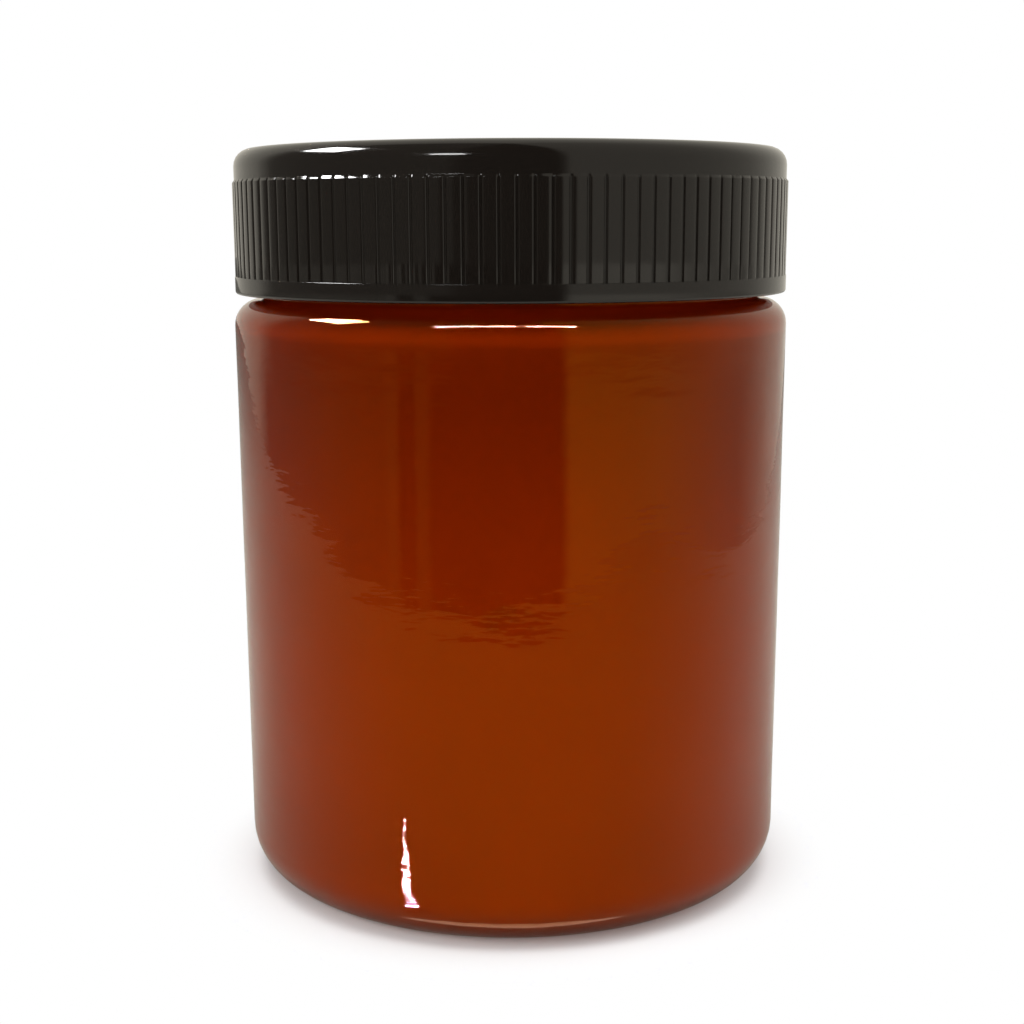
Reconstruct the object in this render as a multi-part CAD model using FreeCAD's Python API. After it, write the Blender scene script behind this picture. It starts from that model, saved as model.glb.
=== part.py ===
"""Straight-sided honey jar: glass jar, honey filling and ribbed screw cap, in millimetres.

The origin is the middle of the ring that the jar stands on, and +Z runs up the jar's axis.
"""
import FreeCAD, Part
import math
import os

# Glass jar
body_diameter = 66.4
shoulder_height = 70.8  # standing ring to the top of the shoulder
neck_height = 15.8  # top of the shoulder to the sealing rim
wall = 2.2
base_thickness = 2.2
shoulder_thickness = 2.4
neck_wall = 2.4
shoulder_step = 3.5  # from the body's outside in to the neck's outside
heel_radius = 5.8
shoulder_radius = 3.0
neck_fillet = 0.4
inner_heel_radius = 3.6
inner_shoulder_radius = 1.6
inner_neck_radius = 1.9
rim_radius = 0.8
push_up = 0.6  # rise of the hollow under the base
push_up_rounding = 0.3
standing_ring_width = 2.6

# Honey
headspace = 3.5  # free height from the honey up to the sealing rim

# Screw thread, on the neck and inside the cap
thread_pitch = 4.2
thread_turns = 1.25
thread_depth = 1.25
thread_play = 1.0  # what each pitch leaves free along the axis, beside both beads
thread_flank_run = 0.6  # along the axis, over the whole depth of a bead
thread_flank_gap = 0.1  # least gap between the flanks that carry the cap
thread_drop = 4.6  # sealing rim down to the middle of the neck thread's upper end
thread_root_gap = 0.45  # from the cap's thread in to the neck
bore_gap = 0.35  # from the neck's thread out to the cap's bore
thread_embed = 0.3  # how far each thread runs into its own wall

# Cap
cap_top_thickness = 1.5
cap_wall = 1.42
skirt_gap = 0.7  # from the shoulder up to the cap's lower edge
top_corner_radius = 2.0
bore_corner_radius = 1.2
lower_edge_radius = 0.35
lower_band_height = 2.03
top_band_height = 3.56
rib_count = 112
first_groove = 1.17  # degrees round from the +X direction
rib_height = 0.28  # ribs and lower band stand out from the top band by this much
rib_bevel = 0.45  # height of the slope at the ribs' upper ends
groove_depth = 0.25
groove_mouth = 0.42
groove_floor = 0.2

# Places that follow from these sizes
body_outer = body_diameter / 2
body_inner = body_outer - wall
neck_outer = body_outer - shoulder_step
neck_inner = neck_outer - neck_wall
rim_height = shoulder_height + neck_height
honey_level = rim_height - headspace
shoulder_inside = shoulder_height - shoulder_thickness
thread_mean_width = (thread_pitch - thread_play) / 2
cap_bore = neck_outer + thread_depth + bore_gap
band_radius = cap_bore + cap_wall
rib_radius = band_radius + rib_height
cap_bottom = shoulder_height + skirt_gap
cap_top = rim_height + cap_top_thickness
rib_bottom = cap_bottom + lower_band_height
rib_top = cap_top - top_band_height


def point(radius, height):
    """A point of an outline in the XZ plane."""
    return FreeCAD.Vector(radius, 0, height)


def rounded_outline(corners):
    """Closed wire through corners of (radius, height, rounding), with a tangent arc at each rounding."""
    arcs = {}
    ends = []
    for i, (radius, height, rounding) in enumerate(corners):
        corner = point(radius, height)
        if not rounding:
            ends.append((corner, corner))
            continue
        before = point(*corners[i - 1][:2])
        after = point(*corners[(i + 1) % len(corners)][:2])
        back = (before - corner).normalize()
        on = (after - corner).normalize()
        half_angle = back.getAngle(on) / 2
        start = corner + back * (rounding / math.tan(half_angle))
        end = corner + on * (rounding / math.tan(half_angle))
        inward = (back + on).normalize()
        middle = corner + inward * (rounding / math.sin(half_angle) - rounding)
        arcs[i] = Part.Arc(start, middle, end).toShape()
        ends.append((start, end))
    outline = []
    for i, (start, end) in enumerate(ends):
        if i in arcs:
            outline.append(arcs[i])
        following = ends[(i + 1) % len(ends)][0]
        if end.distanceToPoint(following) > 1e-6:
            outline.append(Part.LineSegment(end, following).toShape())
    return Part.Wire(outline)


def turned(corners):
    """Solid of revolution about Z from an outline of corners."""
    face = Part.Face(rounded_outline(corners))
    return face.revolve(FreeCAD.Vector(0, 0, 0), FreeCAD.Vector(0, 0, 1), 360)


def thread(wall_radius, outward, top):
    """Trapezoid bead wound round Z, its upper end's middle at height top.

    outward is 1 for a bead that stands out from the wall and -1 for one that stands in.
    """
    rise = thread_pitch * thread_turns
    depth = thread_depth if outward > 0 else cap_bore - neck_outer - thread_root_gap
    foot = wall_radius - outward * thread_embed
    crest = wall_radius + outward * depth
    root_half = (thread_mean_width + thread_flank_run) / 2
    crest_half = (thread_mean_width - thread_flank_run) / 2
    foot_half = root_half + thread_flank_run * thread_embed / depth
    section = Part.makePolygon([
        point(foot, -foot_half),
        point(crest, -crest_half),
        point(crest, crest_half),
        point(foot, foot_half),
        point(foot, -foot_half),
    ])
    path = Part.Wire(Part.makeHelix(thread_pitch, rise, wall_radius))
    bead = path.makePipeShell([section], True, True)
    bead.translate(FreeCAD.Vector(0, 0, top - rise))
    return bead


def make_jar():
    """Glass jar with its wall, heel, shoulder, neck, thread and the hollow under its base."""
    shoulder_round = min(shoulder_radius, shoulder_step - neck_fillet)
    ring_outer = body_outer - heel_radius
    ring_inner = ring_outer - standing_ring_width
    hollow = ring_inner - push_up
    glass = turned([
        (0, push_up, 0),
        (hollow, push_up, push_up_rounding),
        (ring_inner, 0, push_up_rounding),
        (body_outer, 0, heel_radius),
        (body_outer, shoulder_height, shoulder_round),
        (neck_outer, shoulder_height, neck_fillet),
        (neck_outer, rim_height, rim_radius),
        (neck_inner, rim_height, rim_radius),
        (neck_inner, shoulder_inside, inner_neck_radius),
        (body_inner, shoulder_inside, inner_shoulder_radius),
        (body_inner, base_thickness, inner_heel_radius),
        (0, base_thickness, 0),
    ])
    return glass.fuse(thread(neck_outer, 1, rim_height - thread_drop))


def make_honey():
    """Honey, filling the jar's inside up to its level in the neck."""
    return turned([
        (0, base_thickness, 0),
        (body_inner, base_thickness, inner_heel_radius),
        (body_inner, shoulder_inside, inner_shoulder_radius),
        (neck_inner, shoulder_inside, inner_neck_radius),
        (neck_inner, honey_level, 0),
        (0, honey_level, 0),
    ])


def groove(angle):
    """Cutter for one groove between two ribs, open at its upper end."""
    floor = rib_radius - groove_depth
    slope = (groove_mouth - groove_floor) / 2 / groove_depth
    outside = rib_radius + rib_height
    outside_half = groove_floor / 2 + slope * (outside - floor)
    section = Part.makePolygon([
        FreeCAD.Vector(floor, -groove_floor / 2, rib_bottom),
        FreeCAD.Vector(outside, -outside_half, rib_bottom),
        FreeCAD.Vector(outside, outside_half, rib_bottom),
        FreeCAD.Vector(floor, groove_floor / 2, rib_bottom),
        FreeCAD.Vector(floor, -groove_floor / 2, rib_bottom),
    ])
    cutter = Part.Face(section).extrude(FreeCAD.Vector(0, 0, rib_top - rib_bottom + rib_bevel))
    cutter.rotate(FreeCAD.Vector(0, 0, 0), FreeCAD.Vector(0, 0, 1), angle)
    return cutter


def make_cap():
    """Screw cap with its ribbed skirt and inner thread, its inside top resting on the jar's rim."""
    shell = turned([
        (0, rim_height, 0),
        (cap_bore, rim_height, bore_corner_radius),
        (cap_bore, cap_bottom, lower_edge_radius),
        (rib_radius, cap_bottom, lower_edge_radius),
        (rib_radius, rib_top - rib_bevel, 0),
        (band_radius, rib_top, 0),
        (band_radius, cap_top, top_corner_radius),
        (0, cap_top, 0),
    ])
    grooves = [groove(first_groove + 360 * i / rib_count) for i in range(rib_count)]
    shell = shell.cut(Part.makeCompound(grooves))
    carried = thread_drop + thread_mean_width + thread_flank_gap
    return shell.fuse(thread(cap_bore, -1, rim_height - carried))


os.makedirs("parts", exist_ok=True)
for name, solid in (("jar", make_jar()), ("honey", make_honey()), ("cap", make_cap())):
    solid.exportStep(f"parts/{name}.step")
    print(name, solid.ShapeType, len(solid.Solids), solid.isValid(), round(solid.Volume, 1), solid.BoundBox)
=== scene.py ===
"""Glass jar of dark honey with a black ribbed screw cap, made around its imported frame.

Laid out as an add-on and run as a script: main() registers the classes and calls each operator once.
All lengths are in metres.
"""
import math

import bpy
from mathutils import Matrix, Vector, noise


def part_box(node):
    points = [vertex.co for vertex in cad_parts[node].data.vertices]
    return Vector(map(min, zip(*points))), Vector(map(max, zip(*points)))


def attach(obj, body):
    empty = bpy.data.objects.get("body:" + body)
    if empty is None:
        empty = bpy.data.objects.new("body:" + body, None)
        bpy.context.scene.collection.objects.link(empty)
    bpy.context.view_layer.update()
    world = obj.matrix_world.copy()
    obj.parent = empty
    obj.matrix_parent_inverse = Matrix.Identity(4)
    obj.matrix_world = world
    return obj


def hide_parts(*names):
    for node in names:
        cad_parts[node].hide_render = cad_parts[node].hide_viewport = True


bl_info = {
    "name": "Honey Jar",
    "version": (1, 0, 0),
    "blender": (4, 5, 0),
    "location": "3D View > Sidebar > Honey Jar",
    "description": "Glass jar of dark honey with a ribbed screw cap, and its plain studio",
    "category": "Add Mesh",
}

MM = 0.001
THREAD_PITCH = 4.2 * MM
THREAD_TURNS = 1.25
NECK_THREAD_DEPTH = 1.25 * MM
NECK_THREAD_DROP = 4.6 * MM  # sealing rim down to the middle of the thread's upper end
CAP_THREAD_DEPTH = 1.15 * MM
CAP_THREAD_DROP = 6.3 * MM
NECK_WALL = 2.4 * MM
SHOULDER_THICKNESS = 2.4 * MM
STANDING_RING = 2.6 * MM  # width of the ring that the jar stands on
PUSH_UP = 0.6 * MM  # rise of the hollow under the base
LOWER_BAND = 2.03 * MM  # height of the plain band under the ribs
TOP_BAND = 3.56 * MM  # height of the plain band over the ribs
GROOVE_MOUTH = 0.42 * MM
FIRST_GROOVE = math.radians(1.17)
SAME = 0.01 * MM  # how near a radius lies to a wall that it belongs to
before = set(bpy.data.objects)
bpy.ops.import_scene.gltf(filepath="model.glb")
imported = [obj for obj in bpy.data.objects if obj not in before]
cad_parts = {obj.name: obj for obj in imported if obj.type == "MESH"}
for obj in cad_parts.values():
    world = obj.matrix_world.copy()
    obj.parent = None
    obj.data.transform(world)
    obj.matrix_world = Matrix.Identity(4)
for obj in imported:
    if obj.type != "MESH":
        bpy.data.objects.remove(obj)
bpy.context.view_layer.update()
JAR_LOW, JAR_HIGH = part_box("jar")
HONEY_LOW, HONEY_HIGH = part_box("honey")
CAP_LOW, CAP_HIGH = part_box("cap")


class JarSettings(bpy.types.PropertyGroup):
    """Sizes and colour of the glass jar."""

    body_radius: bpy.props.FloatProperty(
        name="Body radius", description="Outside of the straight wall",
        default=JAR_HIGH[0], min=0.01, unit="LENGTH")
    rim_height: bpy.props.FloatProperty(
        name="Rim height", description="Height of the sealing rim",
        default=JAR_HIGH[2], min=0.02, unit="LENGTH")
    wall: bpy.props.FloatProperty(
        name="Wall", description="Thickness of the straight wall",
        default=JAR_HIGH[0] - HONEY_HIGH[0], min=0.0005, unit="LENGTH")
    base_thickness: bpy.props.FloatProperty(
        name="Base", description="Thickness of the base, from the standing ring up",
        default=HONEY_LOW[2], min=0.001, unit="LENGTH")
    neck_height: bpy.props.FloatProperty(
        name="Neck height", description="Top of the shoulder to the sealing rim",
        default=15.8 * MM, min=0.002, unit="LENGTH")
    shoulder_step: bpy.props.FloatProperty(
        name="Shoulder step", description="From the body's outside in to the neck's outside",
        default=3.5 * MM, min=0.001, unit="LENGTH")
    heel_radius: bpy.props.FloatProperty(
        name="Heel radius", description="Rounding at the foot of the wall",
        default=5.8 * MM, min=0.001, unit="LENGTH")
    shoulder_radius: bpy.props.FloatProperty(
        name="Shoulder radius", description="Rounding at the head of the wall",
        default=3.0 * MM, min=0.0005, unit="LENGTH")
    ripple: bpy.props.FloatProperty(
        name="Ripple", description="Height of the slow waves in the blown wall",
        default=0.03 * MM, min=0.0, unit="LENGTH")
    wrinkle: bpy.props.FloatProperty(
        name="Wrinkle", description="Height of the fine waves on the glass",
        default=0.06 * MM, min=0.0, unit="LENGTH")
    colour: bpy.props.FloatVectorProperty(
        name="Glass colour", description="What a thickness of the glass lets through",
        default=(0.833, 0.6, 0.0), size=3, min=0, max=1, subtype="COLOR")
    density: bpy.props.FloatProperty(
        name="Glass density", description="How quickly the glass darkens with depth, per metre",
        default=420.0, min=0.0)
    gleam: bpy.props.FloatVectorProperty(
        name="Gleam", description="Tint of what the glass mirrors face on",
        default=(1.0, 0.36, 0.02), size=3, min=0, max=1, subtype="COLOR")


class HoneySettings(bpy.types.PropertyGroup):
    """Colour and reach of the honey."""

    reach: bpy.props.FloatProperty(
        name="Reach", description="How far the honey runs into the glass, so that no air shows",
        default=0.08 * MM, min=0.0, unit="LENGTH")
    meniscus: bpy.props.FloatProperty(
        name="Meniscus", description="Rise of the honey's surface where it meets the neck",
        default=0.5 * MM, min=0.0, unit="LENGTH")
    colour: bpy.props.FloatVectorProperty(
        name="Honey colour", description="Colour of the honey where light comes back out of it",
        default=(0.42, 0.045, 0.002), size=3, min=0, max=1, subtype="COLOR")
    # Painted shade: the honey's colour is mixed towards this darker colour by height, darkest over the upper
    # body.
    painted_shade_colour: bpy.props.FloatVectorProperty(
        name="Top colour", description="The same at the top, where the honey is darkest",
        default=(0.27, 0.026, 0.001), size=3, min=0, max=1, subtype="COLOR")


class CapSettings(bpy.types.PropertyGroup):
    """Sizes and colour of the screw cap."""

    rib_count: bpy.props.IntProperty(
        name="Ribs", description="Number of grip ribs round the skirt", default=112, min=8)
    rib_height: bpy.props.FloatProperty(
        name="Rib height", description="How far the ribs stand out from the top band",
        default=0.28 * MM, min=0.0, unit="LENGTH")
    groove_depth: bpy.props.FloatProperty(
        name="Groove depth", description="Depth of the grooves between the ribs",
        default=0.25 * MM, min=0.0, unit="LENGTH")
    wall: bpy.props.FloatProperty(
        name="Wall", description="Skirt thickness behind the top band",
        default=1.42 * MM, min=0.0002, unit="LENGTH")
    colour: bpy.props.FloatVectorProperty(
        name="Cap colour", description="Colour of the moulded plastic",
        default=(0.0045, 0.0032, 0.0024), size=3, min=0, max=1, subtype="COLOR")


class StageSettings(bpy.types.PropertyGroup):
    """Camera and studio."""

    lens: bpy.props.FloatProperty(
        name="Lens", description="Focal length in millimetres", default=58.7, min=10)
    distance: bpy.props.FloatProperty(
        name="Camera distance", description="From the jar's axis to the camera",
        default=0.2059, min=0.05, unit="LENGTH")
    height: bpy.props.FloatProperty(
        name="Camera height", description="Height of the camera above the floor",
        default=0.0802, min=0.0, unit="LENGTH")
    tilt: bpy.props.FloatProperty(
        name="Camera tilt", description="How far the camera looks down",
        default=math.radians(12.42), subtype="ANGLE")
    roll: bpy.props.FloatProperty(
        name="Camera roll", description="Turn of the camera about its own line of sight",
        default=math.radians(0.21), subtype="ANGLE")


# ---------------------------------------------------------------- outlines and turned meshes

def rounded_outline(corners, step, own_steps=None, turn=math.radians(9)):
    """Points (radius, height) along an open outline of (radius, height, rounding) corners.

    Roundings become arcs with a point at least every turn, and straight runs a point every step.
    own_steps gives another step for the run that ends at a corner, by the corner's number.
    """
    own_steps = own_steps or {}
    spans = []
    for i, (radius, height, rounding) in enumerate(corners):
        corner = Vector((radius, height))
        if not rounding or i in (0, len(corners) - 1):
            spans.append([corner])
            continue
        back = (Vector(corners[i - 1][:2]) - corner).normalized()
        on = (Vector(corners[i + 1][:2]) - corner).normalized()
        half = back.angle(on) / 2
        tangent = rounding / math.tan(half)
        centre = corner + (back + on).normalized() * (rounding / math.sin(half))
        start = corner + back * tangent - centre
        end = corner + on * tangent - centre
        sweep = math.pi - 2 * half
        count = max(3, math.ceil(sweep / turn))
        side = 1 if start.x * end.y - start.y * end.x > 0 else -1
        arc = []
        for k in range(count + 1):
            angle = side * sweep * k / count
            cos, sin = math.cos(angle), math.sin(angle)
            arc.append(centre + Vector((start.x * cos - start.y * sin, start.x * sin + start.y * cos)))
        spans.append(arc)
    outline = []
    for i, span in enumerate(spans):
        if outline:
            run = span[0] - outline[-1]
            count = max(1, math.ceil(run.length / own_steps.get(i, step)))
            outline += [outline[-1] + run * (k / count) for k in range(1, count)]
            if run.length < 1e-7:
                span = span[1:]
        outline += span
    return outline


def turned_mesh(name, outline, angles, moved=None):
    """Closed mesh of the outline turned round Z, which starts and ends on the axis.

    moved(radius, height, angle) gives the radius and height that a point takes instead.
    """
    vertices = [(0, 0, outline[0].y)]
    count = len(angles)
    for point in outline[1:-1]:
        for angle in angles:
            radius, height = moved(point.x, point.y, angle) if moved else point
            vertices.append((radius * math.cos(angle), radius * math.sin(angle), height))
    vertices.append((0, 0, outline[-1].y))
    last = len(vertices) - 1
    rings = len(outline) - 2
    faces = []
    for k in range(count):
        following = (k + 1) % count
        faces.append((0, 1 + following, 1 + k))
        for ring in range(rings - 1):
            low = 1 + ring * count
            high = low + count
            faces.append((low + k, low + following, high + following, high + k))
        foot = 1 + (rings - 1) * count
        faces.append((last, foot + k, foot + following))
    mesh = bpy.data.meshes.new(name)
    mesh.from_pydata(vertices, [], faces)
    mesh.validate()
    mesh.shade_smooth()
    piece = bpy.data.objects.new(name, mesh)
    bpy.context.scene.collection.objects.link(piece)
    return piece


def even_angles(count):
    """count angles round the whole circle."""
    return [math.tau * k / count for k in range(count)]


def bead_share(angle, height, top):
    """How much of a thread's full depth stands at a place, 0 off the bead and 1 on its crest."""
    nearest = THREAD_PITCH
    for wind in (0, 1):
        turned_so_far = angle / math.tau + wind
        if turned_so_far <= THREAD_TURNS:
            middle = top - THREAD_PITCH * (THREAD_TURNS - turned_so_far)
            nearest = min(nearest, abs(height - middle))
    return min(max((1.1 * MM - nearest) / (0.6 * MM), 0.0), 1.0)


def smooth(value, low, high):
    """Eased step from 0 at low to 1 at high."""
    share = min(max((value - low) / (high - low), 0.0), 1.0)
    return share * share * (3 - 2 * share)


# ---------------------------------------------------------------- materials

def new_material(name):
    """Empty node material and its Principled shader."""
    material = bpy.data.materials.new(name)
    material.use_nodes = True
    return material, material.node_tree.nodes["Principled BSDF"]


def node(material, kind, **inputs):
    """Shader node of a kind, with plain values for its named inputs."""
    made = material.node_tree.nodes.new(kind)
    for socket, value in inputs.items():
        made.inputs[socket.replace("_", " ")].default_value = value
    return made


def join(material, output, target):
    """Links an output socket to an input socket."""
    material.node_tree.links.new(output, target)


def object_noise(material, scale, detail, stretch=(1, 1, 1)):
    """Noise fixed to the object, with its own scale along each axis."""
    places = node(material, "ShaderNodeTexCoord")
    mapping = node(material, "ShaderNodeMapping", Scale=stretch)
    pattern = node(material, "ShaderNodeTexNoise", Scale=scale, Detail=detail)
    join(material, places.outputs["Object"], mapping.inputs["Vector"])
    join(material, mapping.outputs["Vector"], pattern.inputs["Vector"])
    return pattern


def set_stops(ramp, stops):
    """Gives a colour ramp its (position, colour) stops."""
    while len(ramp.elements) < len(stops):
        ramp.elements.new(0.5)
    for element, (position, colour) in zip(ramp.elements, stops):
        element.position = position
        element.color = (*colour, 1)


def glass_material(jar):
    """Blown amber glass that deepens with its thickness, with fine waves on it."""
    material, shader = new_material("amber_glass")
    shader.inputs["Base Color"].default_value = (1, 1, 1, 1)
    shader.inputs["Transmission Weight"].default_value = 1
    shader.inputs["IOR"].default_value = 1.65
    shader.inputs["Specular Tint"].default_value = (*jar.gleam, 1)
    shader.inputs["Specular IOR Level"].default_value = 1.0
    shader.inputs["Roughness"].default_value = 0.0
    wrinkles = object_noise(material, 260, 3, (0.5, 0.5, 1.6))
    relief = node(material, "ShaderNodeBump", Strength=1.0, Distance=jar.wrinkle)
    join(material, wrinkles.outputs["Fac"], relief.inputs["Height"])
    join(material, relief.outputs["Normal"], shader.inputs["Normal"])
    depth = node(material, "ShaderNodeVolumeAbsorption", Density=jar.density)
    depth.inputs["Color"].default_value = (*jar.colour, 1)
    output = material.node_tree.nodes["Material Output"]
    join(material, depth.outputs["Volume"], output.inputs["Volume"])
    return material


# Painted shade on the honey: height in millimetres and share there of the darker top colour, most over the
# upper body, a little at the very bottom and none from 68 mm up.
HONEY_PAINTED_SHADE = ((3, 0.2), (18, 0.0), (30, 0.0), (45, 0.3), (62, 1.0), (66.8, 1.0), (68, 0.0))


def honey_material(honey):
    """Thick dark honey, faintly cloudy with fine crystals, with painted shade that darkens it towards the
    top.
    """
    material, shader = new_material("dark_honey")
    shader.inputs["IOR"].default_value = 1.49
    shader.inputs["Specular IOR Level"].default_value = 0
    shader.inputs["Roughness"].default_value = 0.4
    places = node(material, "ShaderNodeTexCoord")
    apart = node(material, "ShaderNodeSeparateXYZ")
    join(material, places.outputs["Object"], apart.inputs[0])
    rise = node(material, "ShaderNodeMapRange")
    rise.inputs["From Max"].default_value = HONEY_HIGH[2]
    join(material, apart.outputs["Z"], rise.inputs["Value"])
    # Ramp of painted shade by height.
    painted_shade_ramp = node(material, "ShaderNodeValToRGB")
    stops = [(height * MM / HONEY_HIGH[2], (share, share, share)) for height, share in HONEY_PAINTED_SHADE]
    set_stops(painted_shade_ramp.color_ramp, stops)
    join(material, rise.outputs["Result"], painted_shade_ramp.inputs["Fac"])
    # Mixes the honey's colour towards the darker top colour by height: painted shade.
    depth = node(material, "ShaderNodeMix")
    depth.data_type = "RGBA"
    depth.inputs["A"].default_value = (*honey.colour, 1)
    depth.inputs["B"].default_value = (*honey.painted_shade_colour, 1)
    join(material, painted_shade_ramp.outputs["Color"], depth.inputs["Factor"])
    clouds = object_noise(material, 55, 5, (1, 1, 0.6))
    mottle = node(material, "ShaderNodeMapRange")
    mottle.inputs["From Min"].default_value = 0.3
    mottle.inputs["From Max"].default_value = 0.7
    mottle.inputs["To Min"].default_value = 0.93
    mottle.inputs["To Max"].default_value = 1.07
    join(material, clouds.outputs["Fac"], mottle.inputs["Value"])
    tone = node(material, "ShaderNodeHueSaturation")
    join(material, depth.outputs["Result"], tone.inputs["Color"])
    join(material, mottle.outputs["Result"], tone.inputs["Value"])
    join(material, tone.outputs["Color"], shader.inputs["Base Color"])
    return material


def cap_material(settings):
    """Black moulded plastic with a fine, slightly uneven gloss."""
    material, shader = new_material("black_plastic")
    shader.inputs["Base Color"].default_value = (*settings.colour, 1)
    shader.inputs["IOR"].default_value = 1.49
    haze = object_noise(material, 260, 3)
    gloss = node(material, "ShaderNodeMapRange")
    gloss.inputs["To Min"].default_value = 0.06
    gloss.inputs["To Max"].default_value = 0.13
    join(material, haze.outputs["Fac"], gloss.inputs["Value"])
    join(material, gloss.outputs["Result"], shader.inputs["Roughness"])
    return material


# ---------------------------------------------------------------- pieces

def jar_corners(jar, honey_reach=0):
    """The two halves of the jar's outline: outside from the axis up to the rim, then inside back down."""
    body = jar.body_radius
    inside = body - jar.wall + honey_reach
    neck = body - jar.shoulder_step
    neck_inside = neck - NECK_WALL + honey_reach
    shoulder = jar.rim_height - jar.neck_height
    shoulder_inside = shoulder - SHOULDER_THICKNESS + honey_reach
    floor = jar.base_thickness - honey_reach
    ring_inner = body - jar.heel_radius - STANDING_RING
    outside = [
        (0, PUSH_UP, 0),
        (ring_inner - PUSH_UP, PUSH_UP, 0.3 * MM),
        (ring_inner, 0, 0.3 * MM),
        (body, 0, jar.heel_radius),
        (body, shoulder, jar.shoulder_radius),
        (neck, shoulder, 0.4 * MM),
        (neck, jar.rim_height, 0.8 * MM),
    ]
    inward = [
        (neck_inside, jar.rim_height, 0.8 * MM),
        (neck_inside, shoulder_inside, 1.9 * MM),
        (inside, shoulder_inside, 1.6 * MM),
        (inside, floor, jar.heel_radius - jar.wall + honey_reach),
        (0, floor, 0),
    ]
    return outside, inward


def make_jar(scene):
    """The glass jar, with slow waves in its wall and the thread on its neck."""
    jar = scene.honey_jar
    outside, inward = jar_corners(jar)
    outline = rounded_outline(outside + inward, 4 * MM, {4: 1.2 * MM, 6: 0.4 * MM})
    body = jar.body_radius
    neck = body - jar.shoulder_step
    shoulder = jar.rim_height - jar.neck_height

    def moved(radius, height, angle):
        if height > shoulder and abs(radius - neck) < SAME:
            bead = bead_share(angle, height, jar.rim_height - NECK_THREAD_DROP)
            return radius + NECK_THREAD_DEPTH * bead, height
        if radius < body - 0.6 * jar.wall or height > shoulder:
            return radius, height
        place = Vector((math.cos(angle) * 3.0, math.sin(angle) * 3.0, height * 60))
        wave = noise.noise(place) + 0.5 * noise.noise(place * 2.3)
        fade = smooth(height, 0.5 * MM, 6 * MM) * (1 - smooth(height, shoulder - 0.4 * MM, shoulder))
        return radius + jar.ripple * (wave - 1.0) * fade, height

    piece = turned_mesh("glass_jar", outline, even_angles(360), moved)
    piece.data.materials.append(glass_material(jar))
    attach(piece, "root")
    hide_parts("jar")


def make_honey(scene):
    """The honey, which reaches just into the glass all round."""
    jar, honey = scene.honey_jar, scene.honey_fill
    inward = jar_corners(jar, honey.reach)[1]
    level = HONEY_HIGH[2]
    neck_inside = inward[1][0]
    surface = level - honey.meniscus
    corners = [(0, inward[-1][1], 0)] + list(reversed(inward[1:-1]))
    corners += [(neck_inside, level, 0), (neck_inside - 1.5 * MM, surface, 1.2 * MM), (0, surface, 0)]
    outline = rounded_outline(corners, 1.2 * MM)
    piece = turned_mesh("honey_fill", outline, even_angles(256))
    piece.data.materials.append(honey_material(honey))
    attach(piece, "root")
    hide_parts("honey")


def make_cap(scene):
    """The screw cap, with a groove between each pair of grip ribs and the thread inside."""
    jar, cap = scene.honey_jar, scene.honey_cap
    rib_radius = CAP_HIGH[0]
    flat_radius = rib_radius - 0.05 * MM
    band_radius = rib_radius - cap.rib_height
    bore = band_radius - cap.wall
    bottom, top = CAP_LOW[2], CAP_HIGH[2]
    rib_bottom = bottom + LOWER_BAND
    rib_top = top - TOP_BAND
    corners = [
        (0, jar.rim_height, 0),
        (bore, jar.rim_height, 1.2 * MM),
        (bore, bottom, 0.35 * MM),
        (rib_radius, bottom, 0.35 * MM),
        (rib_radius, rib_bottom, 0.06 * MM),
        (flat_radius - 0.01 * MM, rib_bottom, 0),
        (flat_radius, rib_bottom + 0.04 * MM, 0),
        (flat_radius, rib_top - 0.3 * MM, 0.12 * MM),
        (band_radius, rib_top, 0.06 * MM),
        (band_radius, top, 2.0 * MM),
        (0, top, 0),
    ]
    outline = rounded_outline(corners, 3 * MM, {2: 1.1 * MM}, math.radians(15))
    pitch = math.tau / cap.rib_count
    groove = GROOVE_MOUTH / rib_radius / pitch
    shares = (0.0, 0.4, 1.0, 1.3, 2.2)
    stops = {0.5} | {(side * share * groove / 2) % 1 for share in shares for side in (-1, 1)}
    angles = [FIRST_GROOVE + pitch * (rib + stop) for rib in range(cap.rib_count) for stop in sorted(stops)]

    def moved(radius, height, angle):
        if abs(radius - bore) < SAME:
            bead = bead_share(angle % math.tau, height, jar.rim_height - CAP_THREAD_DROP)
            return radius - CAP_THREAD_DEPTH * bead, height
        on_ribs = radius >= band_radius + SAME and height >= rib_bottom - SAME / 10
        if not on_ribs or radius > flat_radius + SAME / 10:
            return radius, height
        along = (angle - FIRST_GROOVE) / pitch
        lean = noise.noise(Vector((math.floor(along) * 7.31, 0.5, 0.5))) * 0.02 * MM
        across = along % 1
        radius += lean * (across - 0.5) - abs(lean)
        near = min(across, 1 - across) / (groove / 2)
        depth = cap.groove_depth * min(max((1.0 - near) / 0.6, 0.0), 1.0)
        depth += 0.1 * MM * (2 * across - 1) ** 4
        return max(radius - depth, min(radius, band_radius + 0.02 * MM)), height

    piece = turned_mesh("screw_cap", outline, angles, moved)
    piece.data.set_sharp_from_angle(angle=math.radians(50))
    piece.data.materials.append(cap_material(cap))
    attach(piece, "root")
    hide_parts("cap")


def seen_white(tree):
    """Socket that is 1 for rays that show the background: straight from the camera or through glass."""
    path = tree.nodes.new("ShaderNodeLightPath")
    either = tree.nodes.new("ShaderNodeMath")
    either.operation = "MAXIMUM"
    tree.links.new(path.outputs["Is Camera Ray"], either.inputs[0])
    tree.links.new(path.outputs["Is Transmission Ray"], either.inputs[1])
    return either.outputs[0]


# Brightness of the room by bearing in degrees, 0 in front of the jar and positive to its right.
WALLS = (
    (-180, 0.75), (-125, 0.65), (-112, 0.2), (-26, 0.2), (-20, 0.08), (20, 0.06), (24, 0.55), (112, 0.55),
    (132, 0.68), (180, 0.75),
)
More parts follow.
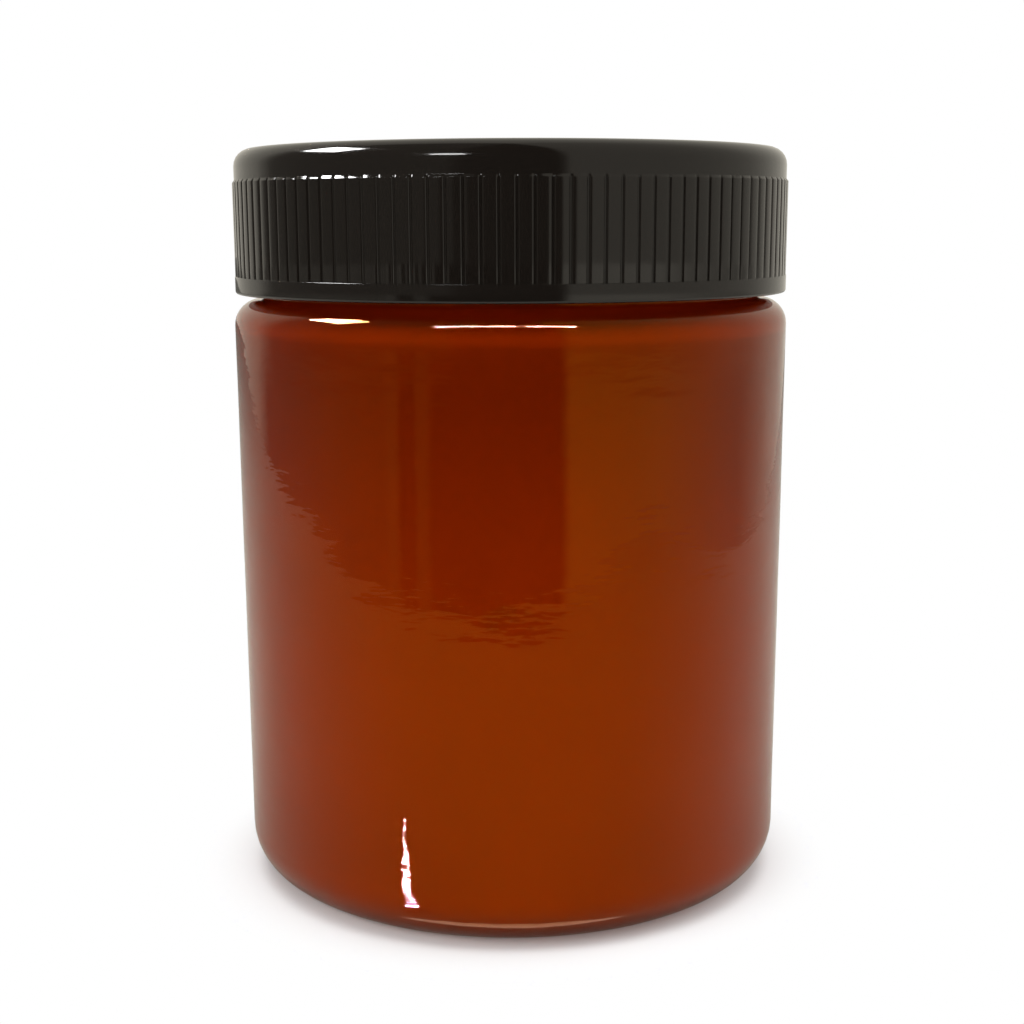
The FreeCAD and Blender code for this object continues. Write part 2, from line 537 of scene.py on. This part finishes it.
# The same below the height of the table.
BELOW = (
    (-180, 0.75), (-127, 0.6), (-118, 0.2), (-80, 0.34), (-52, 0.3), (-50, 0.4), (-47, 0.4), (-45, 0.06),
    (-39, 0.06), (-38, 0.3), (-34, 0.3), (-32, 0.05), (20, 0.05), (24, 0.85), (60, 0.9), (84, 0.62),
    (106, 0.42), (132, 0.68), (180, 0.75),
)


def shade_by_bearing(tree, share, stops):
    """Colour ramp round the room with grey stops at the given bearings."""
    shades = tree.nodes.new("ShaderNodeValToRGB")
    warm = (1, 0.95, 0.82)
    tones = [((degrees + 180) / 360, [level * part for part in warm]) for degrees, level in stops]
    set_stops(shades.color_ramp, tones)
    tree.links.new(share, shades.inputs["Fac"])
    return shades.outputs["Color"]


def make_world():
    """Room whose walls show only in gloss, with even light for matt surfaces and white behind the jar."""
    world = bpy.data.worlds.new("studio")
    world.use_nodes = True
    bpy.context.scene.world = world
    tree = world.node_tree
    tree.nodes.clear()
    places = tree.nodes.new("ShaderNodeTexCoord")
    apart = tree.nodes.new("ShaderNodeSeparateXYZ")
    tree.links.new(places.outputs["Generated"], apart.inputs[0])
    front = tree.nodes.new("ShaderNodeMath")
    front.operation = "MULTIPLY"
    front.inputs[1].default_value = -1
    tree.links.new(apart.outputs["Y"], front.inputs[0])
    bearing = tree.nodes.new("ShaderNodeMath")
    bearing.operation = "ARCTAN2"
    tree.links.new(apart.outputs["X"], bearing.inputs[0])
    tree.links.new(front.outputs[0], bearing.inputs[1])
    share = tree.nodes.new("ShaderNodeMapRange")
    share.inputs["From Min"].default_value = -math.pi
    share.inputs["From Max"].default_value = math.pi
    tree.links.new(bearing.outputs[0], share.inputs["Value"])
    sinking = tree.nodes.new("ShaderNodeMapRange")
    sinking.inputs["From Min"].default_value = -0.07
    sinking.inputs["From Max"].default_value = -0.1
    tree.links.new(apart.outputs["Z"], sinking.inputs["Value"])
    walls = tree.nodes.new("ShaderNodeMix")
    walls.data_type = "RGBA"
    tree.links.new(sinking.outputs["Result"], walls.inputs["Factor"])
    tree.links.new(shade_by_bearing(tree, share.outputs["Result"], WALLS), walls.inputs["A"])
    tree.links.new(shade_by_bearing(tree, share.outputs["Result"], BELOW), walls.inputs["B"])
    mirrored = tree.nodes.new("ShaderNodeBackground")
    tree.links.new(walls.outputs["Result"], mirrored.inputs["Color"])
    even = tree.nodes.new("ShaderNodeBackground")
    even.inputs["Strength"].default_value = 0.3
    white = tree.nodes.new("ShaderNodeBackground")
    white.inputs["Strength"].default_value = 1.0
    for shade in (even, white):
        shade.inputs["Color"].default_value = (1, 1, 1, 1)
    path = tree.nodes.new("ShaderNodeLightPath")
    room = tree.nodes.new("ShaderNodeMixShader")
    tree.links.new(path.outputs["Is Glossy Ray"], room.inputs["Fac"])
    tree.links.new(even.outputs[0], room.inputs[1])
    tree.links.new(mirrored.outputs[0], room.inputs[2])
    either = tree.nodes.new("ShaderNodeMixShader")
    output = tree.nodes.new("ShaderNodeOutputWorld")
    tree.links.new(seen_white(tree), either.inputs["Fac"])
    tree.links.new(room.outputs[0], either.inputs[1])
    tree.links.new(white.outputs[0], either.inputs[2])
    tree.links.new(either.outputs[0], output.inputs["Surface"])


# Edges of the white sheet that gloss shows: bearing in degrees and distance from the jar's axis.
SHEET_EDGES = ((0, 0.187), (-37.4, 0.2), (-72.8, 0.3), (90, 0.24))


def make_floor():
    """White floor without end for the camera, and for gloss a sheet whose front and side edges show."""
    mesh = bpy.data.meshes.new("floor")
    count = 96
    ring = [(3 * math.cos(a), 3 * math.sin(a), 0) for a in even_angles(count)]
    mesh.from_pydata(ring, [], [tuple(range(count))])
    floor = bpy.data.objects.new("floor", mesh)
    bpy.context.scene.collection.objects.link(floor)
    material, shader = new_material("white_sheet")
    tree = material.node_tree
    path = node(material, "ShaderNodeLightPath")
    shader.inputs["Roughness"].default_value = 1
    shader.inputs["Specular IOR Level"].default_value = 0
    tone = node(material, "ShaderNodeMix")
    tone.data_type = "RGBA"
    tone.inputs["A"].default_value = (0.9, 0.9, 0.9, 1)
    tone.inputs["B"].default_value = (0.5, 0.48, 0.42, 1)
    join(material, path.outputs["Is Glossy Ray"], tone.inputs["Factor"])
    join(material, tone.outputs["Result"], shader.inputs["Base Color"])
    glow = node(material, "ShaderNodeEmission", Strength=1.0)
    places = node(material, "ShaderNodeTexCoord")
    far = node(material, "ShaderNodeVectorMath")
    far.operation = "LENGTH"
    join(material, places.outputs["Object"], far.inputs[0])
    fade = node(material, "ShaderNodeMapRange")
    fade.interpolation_type = "SMOOTHSTEP"
    fade.inputs["From Min"].default_value = 0.029
    fade.inputs["From Max"].default_value = 0.041
    join(material, far.outputs["Value"], fade.inputs["Value"])
    share = node(material, "ShaderNodeMath")
    share.operation = "MULTIPLY"
    join(material, fade.outputs["Result"], share.inputs[0])
    join(material, seen_white(tree), share.inputs[1])
    sheet = node(material, "ShaderNodeMixShader")
    join(material, share.outputs[0], sheet.inputs["Fac"])
    join(material, shader.outputs[0], sheet.inputs[1])
    join(material, glow.outputs[0], sheet.inputs[2])
    past_edges = None
    for bearing, edge in SHEET_EDGES:
        east = math.radians(bearing)
        out = node(material, "ShaderNodeVectorMath")
        out.operation = "DOT_PRODUCT"
        out.inputs[1].default_value = (math.sin(east), -math.cos(east), 0)
        join(material, places.outputs["Object"], out.inputs[0])
        past = node(material, "ShaderNodeMapRange")
        past.inputs["From Min"].default_value = edge - 0.005
        past.inputs["From Max"].default_value = edge + 0.005
        join(material, out.outputs["Value"], past.inputs["Value"])
        if past_edges:
            most = node(material, "ShaderNodeMath")
            most.operation = "MAXIMUM"
            join(material, past_edges, most.inputs[0])
            join(material, past.outputs["Result"], most.inputs[1])
            past_edges = most.outputs[0]
        else:
            past_edges = past.outputs["Result"]
    open_share = node(material, "ShaderNodeMath")
    open_share.operation = "MULTIPLY"
    join(material, path.outputs["Is Glossy Ray"], open_share.inputs[0])
    join(material, past_edges, open_share.inputs[1])
    clear = node(material, "ShaderNodeBsdfTransparent")
    mixed = node(material, "ShaderNodeMixShader")
    join(material, open_share.outputs[0], mixed.inputs["Fac"])
    join(material, sheet.outputs[0], mixed.inputs[1])
    join(material, clear.outputs[0], mixed.inputs[2])
    join(material, mixed.outputs[0], tree.nodes["Material Output"].inputs["Surface"])
    floor.data.materials.append(material)


def make_lamp(name, place, target, width, height, power):
    """Soft rectangular lamp at a place, facing a target."""
    data = bpy.data.lights.new(name, "AREA")
    data.shape = "RECTANGLE"
    data.size = width
    data.size_y = height
    data.energy = power
    lamp = bpy.data.objects.new(name, data)
    lamp.location = place
    lamp.rotation_euler = (Vector(target) - Vector(place)).to_track_quat("-Z", "Y").to_euler()
    bpy.context.scene.collection.objects.link(lamp)
    return lamp


def make_soft_lamp(*settings):
    """Lamp that lights matt surfaces and leaves no mirror image of itself."""
    lamp = make_lamp(*settings)
    lamp.visible_glossy = False


AGAINST_AMBER = (0.11, 0.15, 1)  # light that the amber glass mirrors as white


def make_glint(name, corners, strength, only_on=None, colour=(1, 1, 1)):
    """Bright sheet of four-cornered faces that shows only where a piece mirrors it.

    only_on names the one piece that shows it.
    """
    mesh = bpy.data.meshes.new(name)
    mesh.from_pydata(corners, [], [tuple(range(k, k + 4)) for k in range(0, len(corners), 4)])
    sheet = bpy.data.objects.new(name, mesh)
    bpy.context.scene.collection.objects.link(sheet)
    material = new_material(name)[0]
    glow = node(material, "ShaderNodeEmission", Strength=strength)
    glow.inputs["Color"].default_value = (*colour, 1)
    join(material, glow.outputs[0], material.node_tree.nodes["Material Output"].inputs["Surface"])
    material.cycles.emission_sampling = "NONE"
    mesh.materials.append(material)
    sheet.visible_camera = False
    sheet.visible_diffuse = False
    sheet.visible_transmission = False
    sheet.visible_shadow = False
    if only_on:
        shown = bpy.data.collections.new(name)
        shown.objects.link(bpy.data.objects[only_on])
        sheet.light_linking.receiver_collection = shown


def far_sheet(bearing, rise, width, height):
    """Corners of a sheet 0.7 m off, at a bearing and a rise in degrees seen from the shoulder."""
    east, up = math.radians(bearing), math.radians(rise)
    way = Vector((math.sin(east) * math.cos(up), -math.cos(east) * math.cos(up), math.sin(up)))
    side = way.cross(Vector((0, 0, 1))).normalized() * width / 2
    top = side.cross(way).normalized() * height / 2
    middle = Vector((0, 0, 75 * MM)) + way * 0.7
    return [middle - side - top, middle + side - top, middle + side + top, middle - side + top]


def floor_streak():
    """Corners of the short bars of a broken streak on the floor, which shows in the heel."""
    start, end = Vector((-15 * MM, -34.5 * MM, 0.2 * MM)), Vector((-41 * MM, -58 * MM, 0.2 * MM))
    along = end - start
    side = along.cross(Vector((0, 0, 1))).normalized()
    corners = []
    for k in range(15):
        middle = start + along * (k + 0.5) / 15
        drift = noise.noise(Vector((k * 3.7, 0.5, 0.5)))
        half_width = (1.1 - 0.5 * k / 14) * (1 + drift) * MM
        half_length = along * (0.2 + 0.15 * drift) / 15
        middle = middle + side * 0.8 * MM * drift
        corners += [middle - side * half_width - half_length, middle + side * half_width - half_length * 0.2]
        corners += [middle + side * half_width + half_length, middle - side * half_width + half_length * 0.4]
    return corners


def floor_bow():
    """Corners of a tapering bow on the floor before the jar, which shows as a thin line on the heel."""
    corners = []
    for step in range(-13, 13):
        for turned_to, outward in ((step, -1), (step, 1), (step + 1, 1), (step + 1, -1)):
            angle = math.radians(turned_to * 2 - 90)
            radius = (33.2 + 0.6 * outward * (1 - (turned_to / 13) ** 2)) * MM
            corners.append((radius * math.cos(angle), radius * math.sin(angle), 0.2 * MM))
    return corners


def make_camera(stage):
    """Camera in front of the jar, a little above the shoulder and tilted down."""
    data = bpy.data.cameras.new("camera")
    data.lens = stage.lens
    data.sensor_width = 36
    data.shift_x = 0.0003
    data.shift_y = 0.0715
    data.clip_start = 0.01
    camera = bpy.data.objects.new("camera", data)
    camera.location = (0, -stage.distance, stage.height)
    aim = Matrix.Rotation(math.pi / 2 - stage.tilt, 3, "X") @ Matrix.Rotation(-stage.roll, 3, "Z")
    camera.rotation_euler = aim.to_euler()
    bpy.context.scene.collection.objects.link(camera)
    bpy.context.scene.camera = camera


def make_stage(scene):
    """Floor, room, lamps and camera."""
    scene.view_settings.view_transform = "Standard"
    make_world()
    make_floor()
    make_soft_lamp("overhead", (0, 0, 0.7), (0, 0, 0.0), 0.6, 0.6, 4.5)
    make_soft_lamp("left", (-0.55, -0.35, 0.3), (0, 0, 0.03), 0.5, 0.5, 2.5)
    make_soft_lamp("front", (0.1, -0.7, 0.2), (0, 0, 0.03), 0.6, 0.4, 2.5)
    make_soft_lamp("right", (0.6, 0.1, 0.3), (0, 0, 0.05), 0.5, 0.5, 1.5)
    make_glint("window", far_sheet(-96, 44, 0.24, 0.18), 60.0)
    make_glint("front_strip", far_sheet(-3, 53, 0.6, 0.012), 5000.0, "glass_jar", AGAINST_AMBER)
    make_glint("front_left", far_sheet(-25, 25, 0.16, 0.03), 40.0, "screw_cap")
    make_glint("floor_glint", floor_streak(), 2500.0, "glass_jar", AGAINST_AMBER)
    make_glint("heel_line", floor_bow(), 2.5)
    make_camera(scene.honey_stage)


class JarOperator(bpy.types.Operator):
    """Make the glass jar"""

    bl_idname = "honey_jar.jar"
    bl_label = "Glass Jar"

    def execute(self, context):
        make_jar(context.scene)
        return {"FINISHED"}


class HoneyOperator(bpy.types.Operator):
    """Fill the jar with honey"""

    bl_idname = "honey_jar.honey"
    bl_label = "Honey"

    def execute(self, context):
        make_honey(context.scene)
        return {"FINISHED"}


class CapOperator(bpy.types.Operator):
    """Screw on the ribbed cap"""

    bl_idname = "honey_jar.cap"
    bl_label = "Screw Cap"

    def execute(self, context):
        make_cap(context.scene)
        return {"FINISHED"}


class StageOperator(bpy.types.Operator):
    """Set up the floor, the lamps and the camera"""

    bl_idname = "honey_jar.stage"
    bl_label = "Studio"

    def execute(self, context):
        make_stage(context.scene)
        return {"FINISHED"}


OPERATORS = (JarOperator, HoneyOperator, CapOperator, StageOperator)


class HoneyJarPanel(bpy.types.Panel):
    """Buttons for each piece of the honey jar"""

    bl_idname = "VIEW3D_PT_honey_jar"
    bl_label = "Honey Jar"
    bl_space_type = "VIEW_3D"
    bl_region_type = "UI"
    bl_category = "Honey Jar"

    def draw(self, context):
        for operator in OPERATORS:
            self.layout.operator(operator.bl_idname)


GROUPS = {
    "honey_jar": JarSettings,
    "honey_fill": HoneySettings,
    "honey_cap": CapSettings,
    "honey_stage": StageSettings,
}


def register():
    for group in GROUPS.values():
        bpy.utils.register_class(group)
    for name, group in GROUPS.items():
        setattr(bpy.types.Scene, name, bpy.props.PointerProperty(type=group))
    for made in (*OPERATORS, HoneyJarPanel):
        bpy.utils.register_class(made)


def unregister():
    for made in (HoneyJarPanel, *reversed(OPERATORS)):
        bpy.utils.unregister_class(made)
    for name, group in GROUPS.items():
        delattr(bpy.types.Scene, name)
        bpy.utils.unregister_class(group)


def main():
    """Makes every piece and the stage."""
    register()
    bpy.ops.honey_jar.jar()
    bpy.ops.honey_jar.honey()
    bpy.ops.honey_jar.cap()
    bpy.ops.honey_jar.stage()
    bpy.context.view_layer.update()


if __name__ == "__main__":
    main()
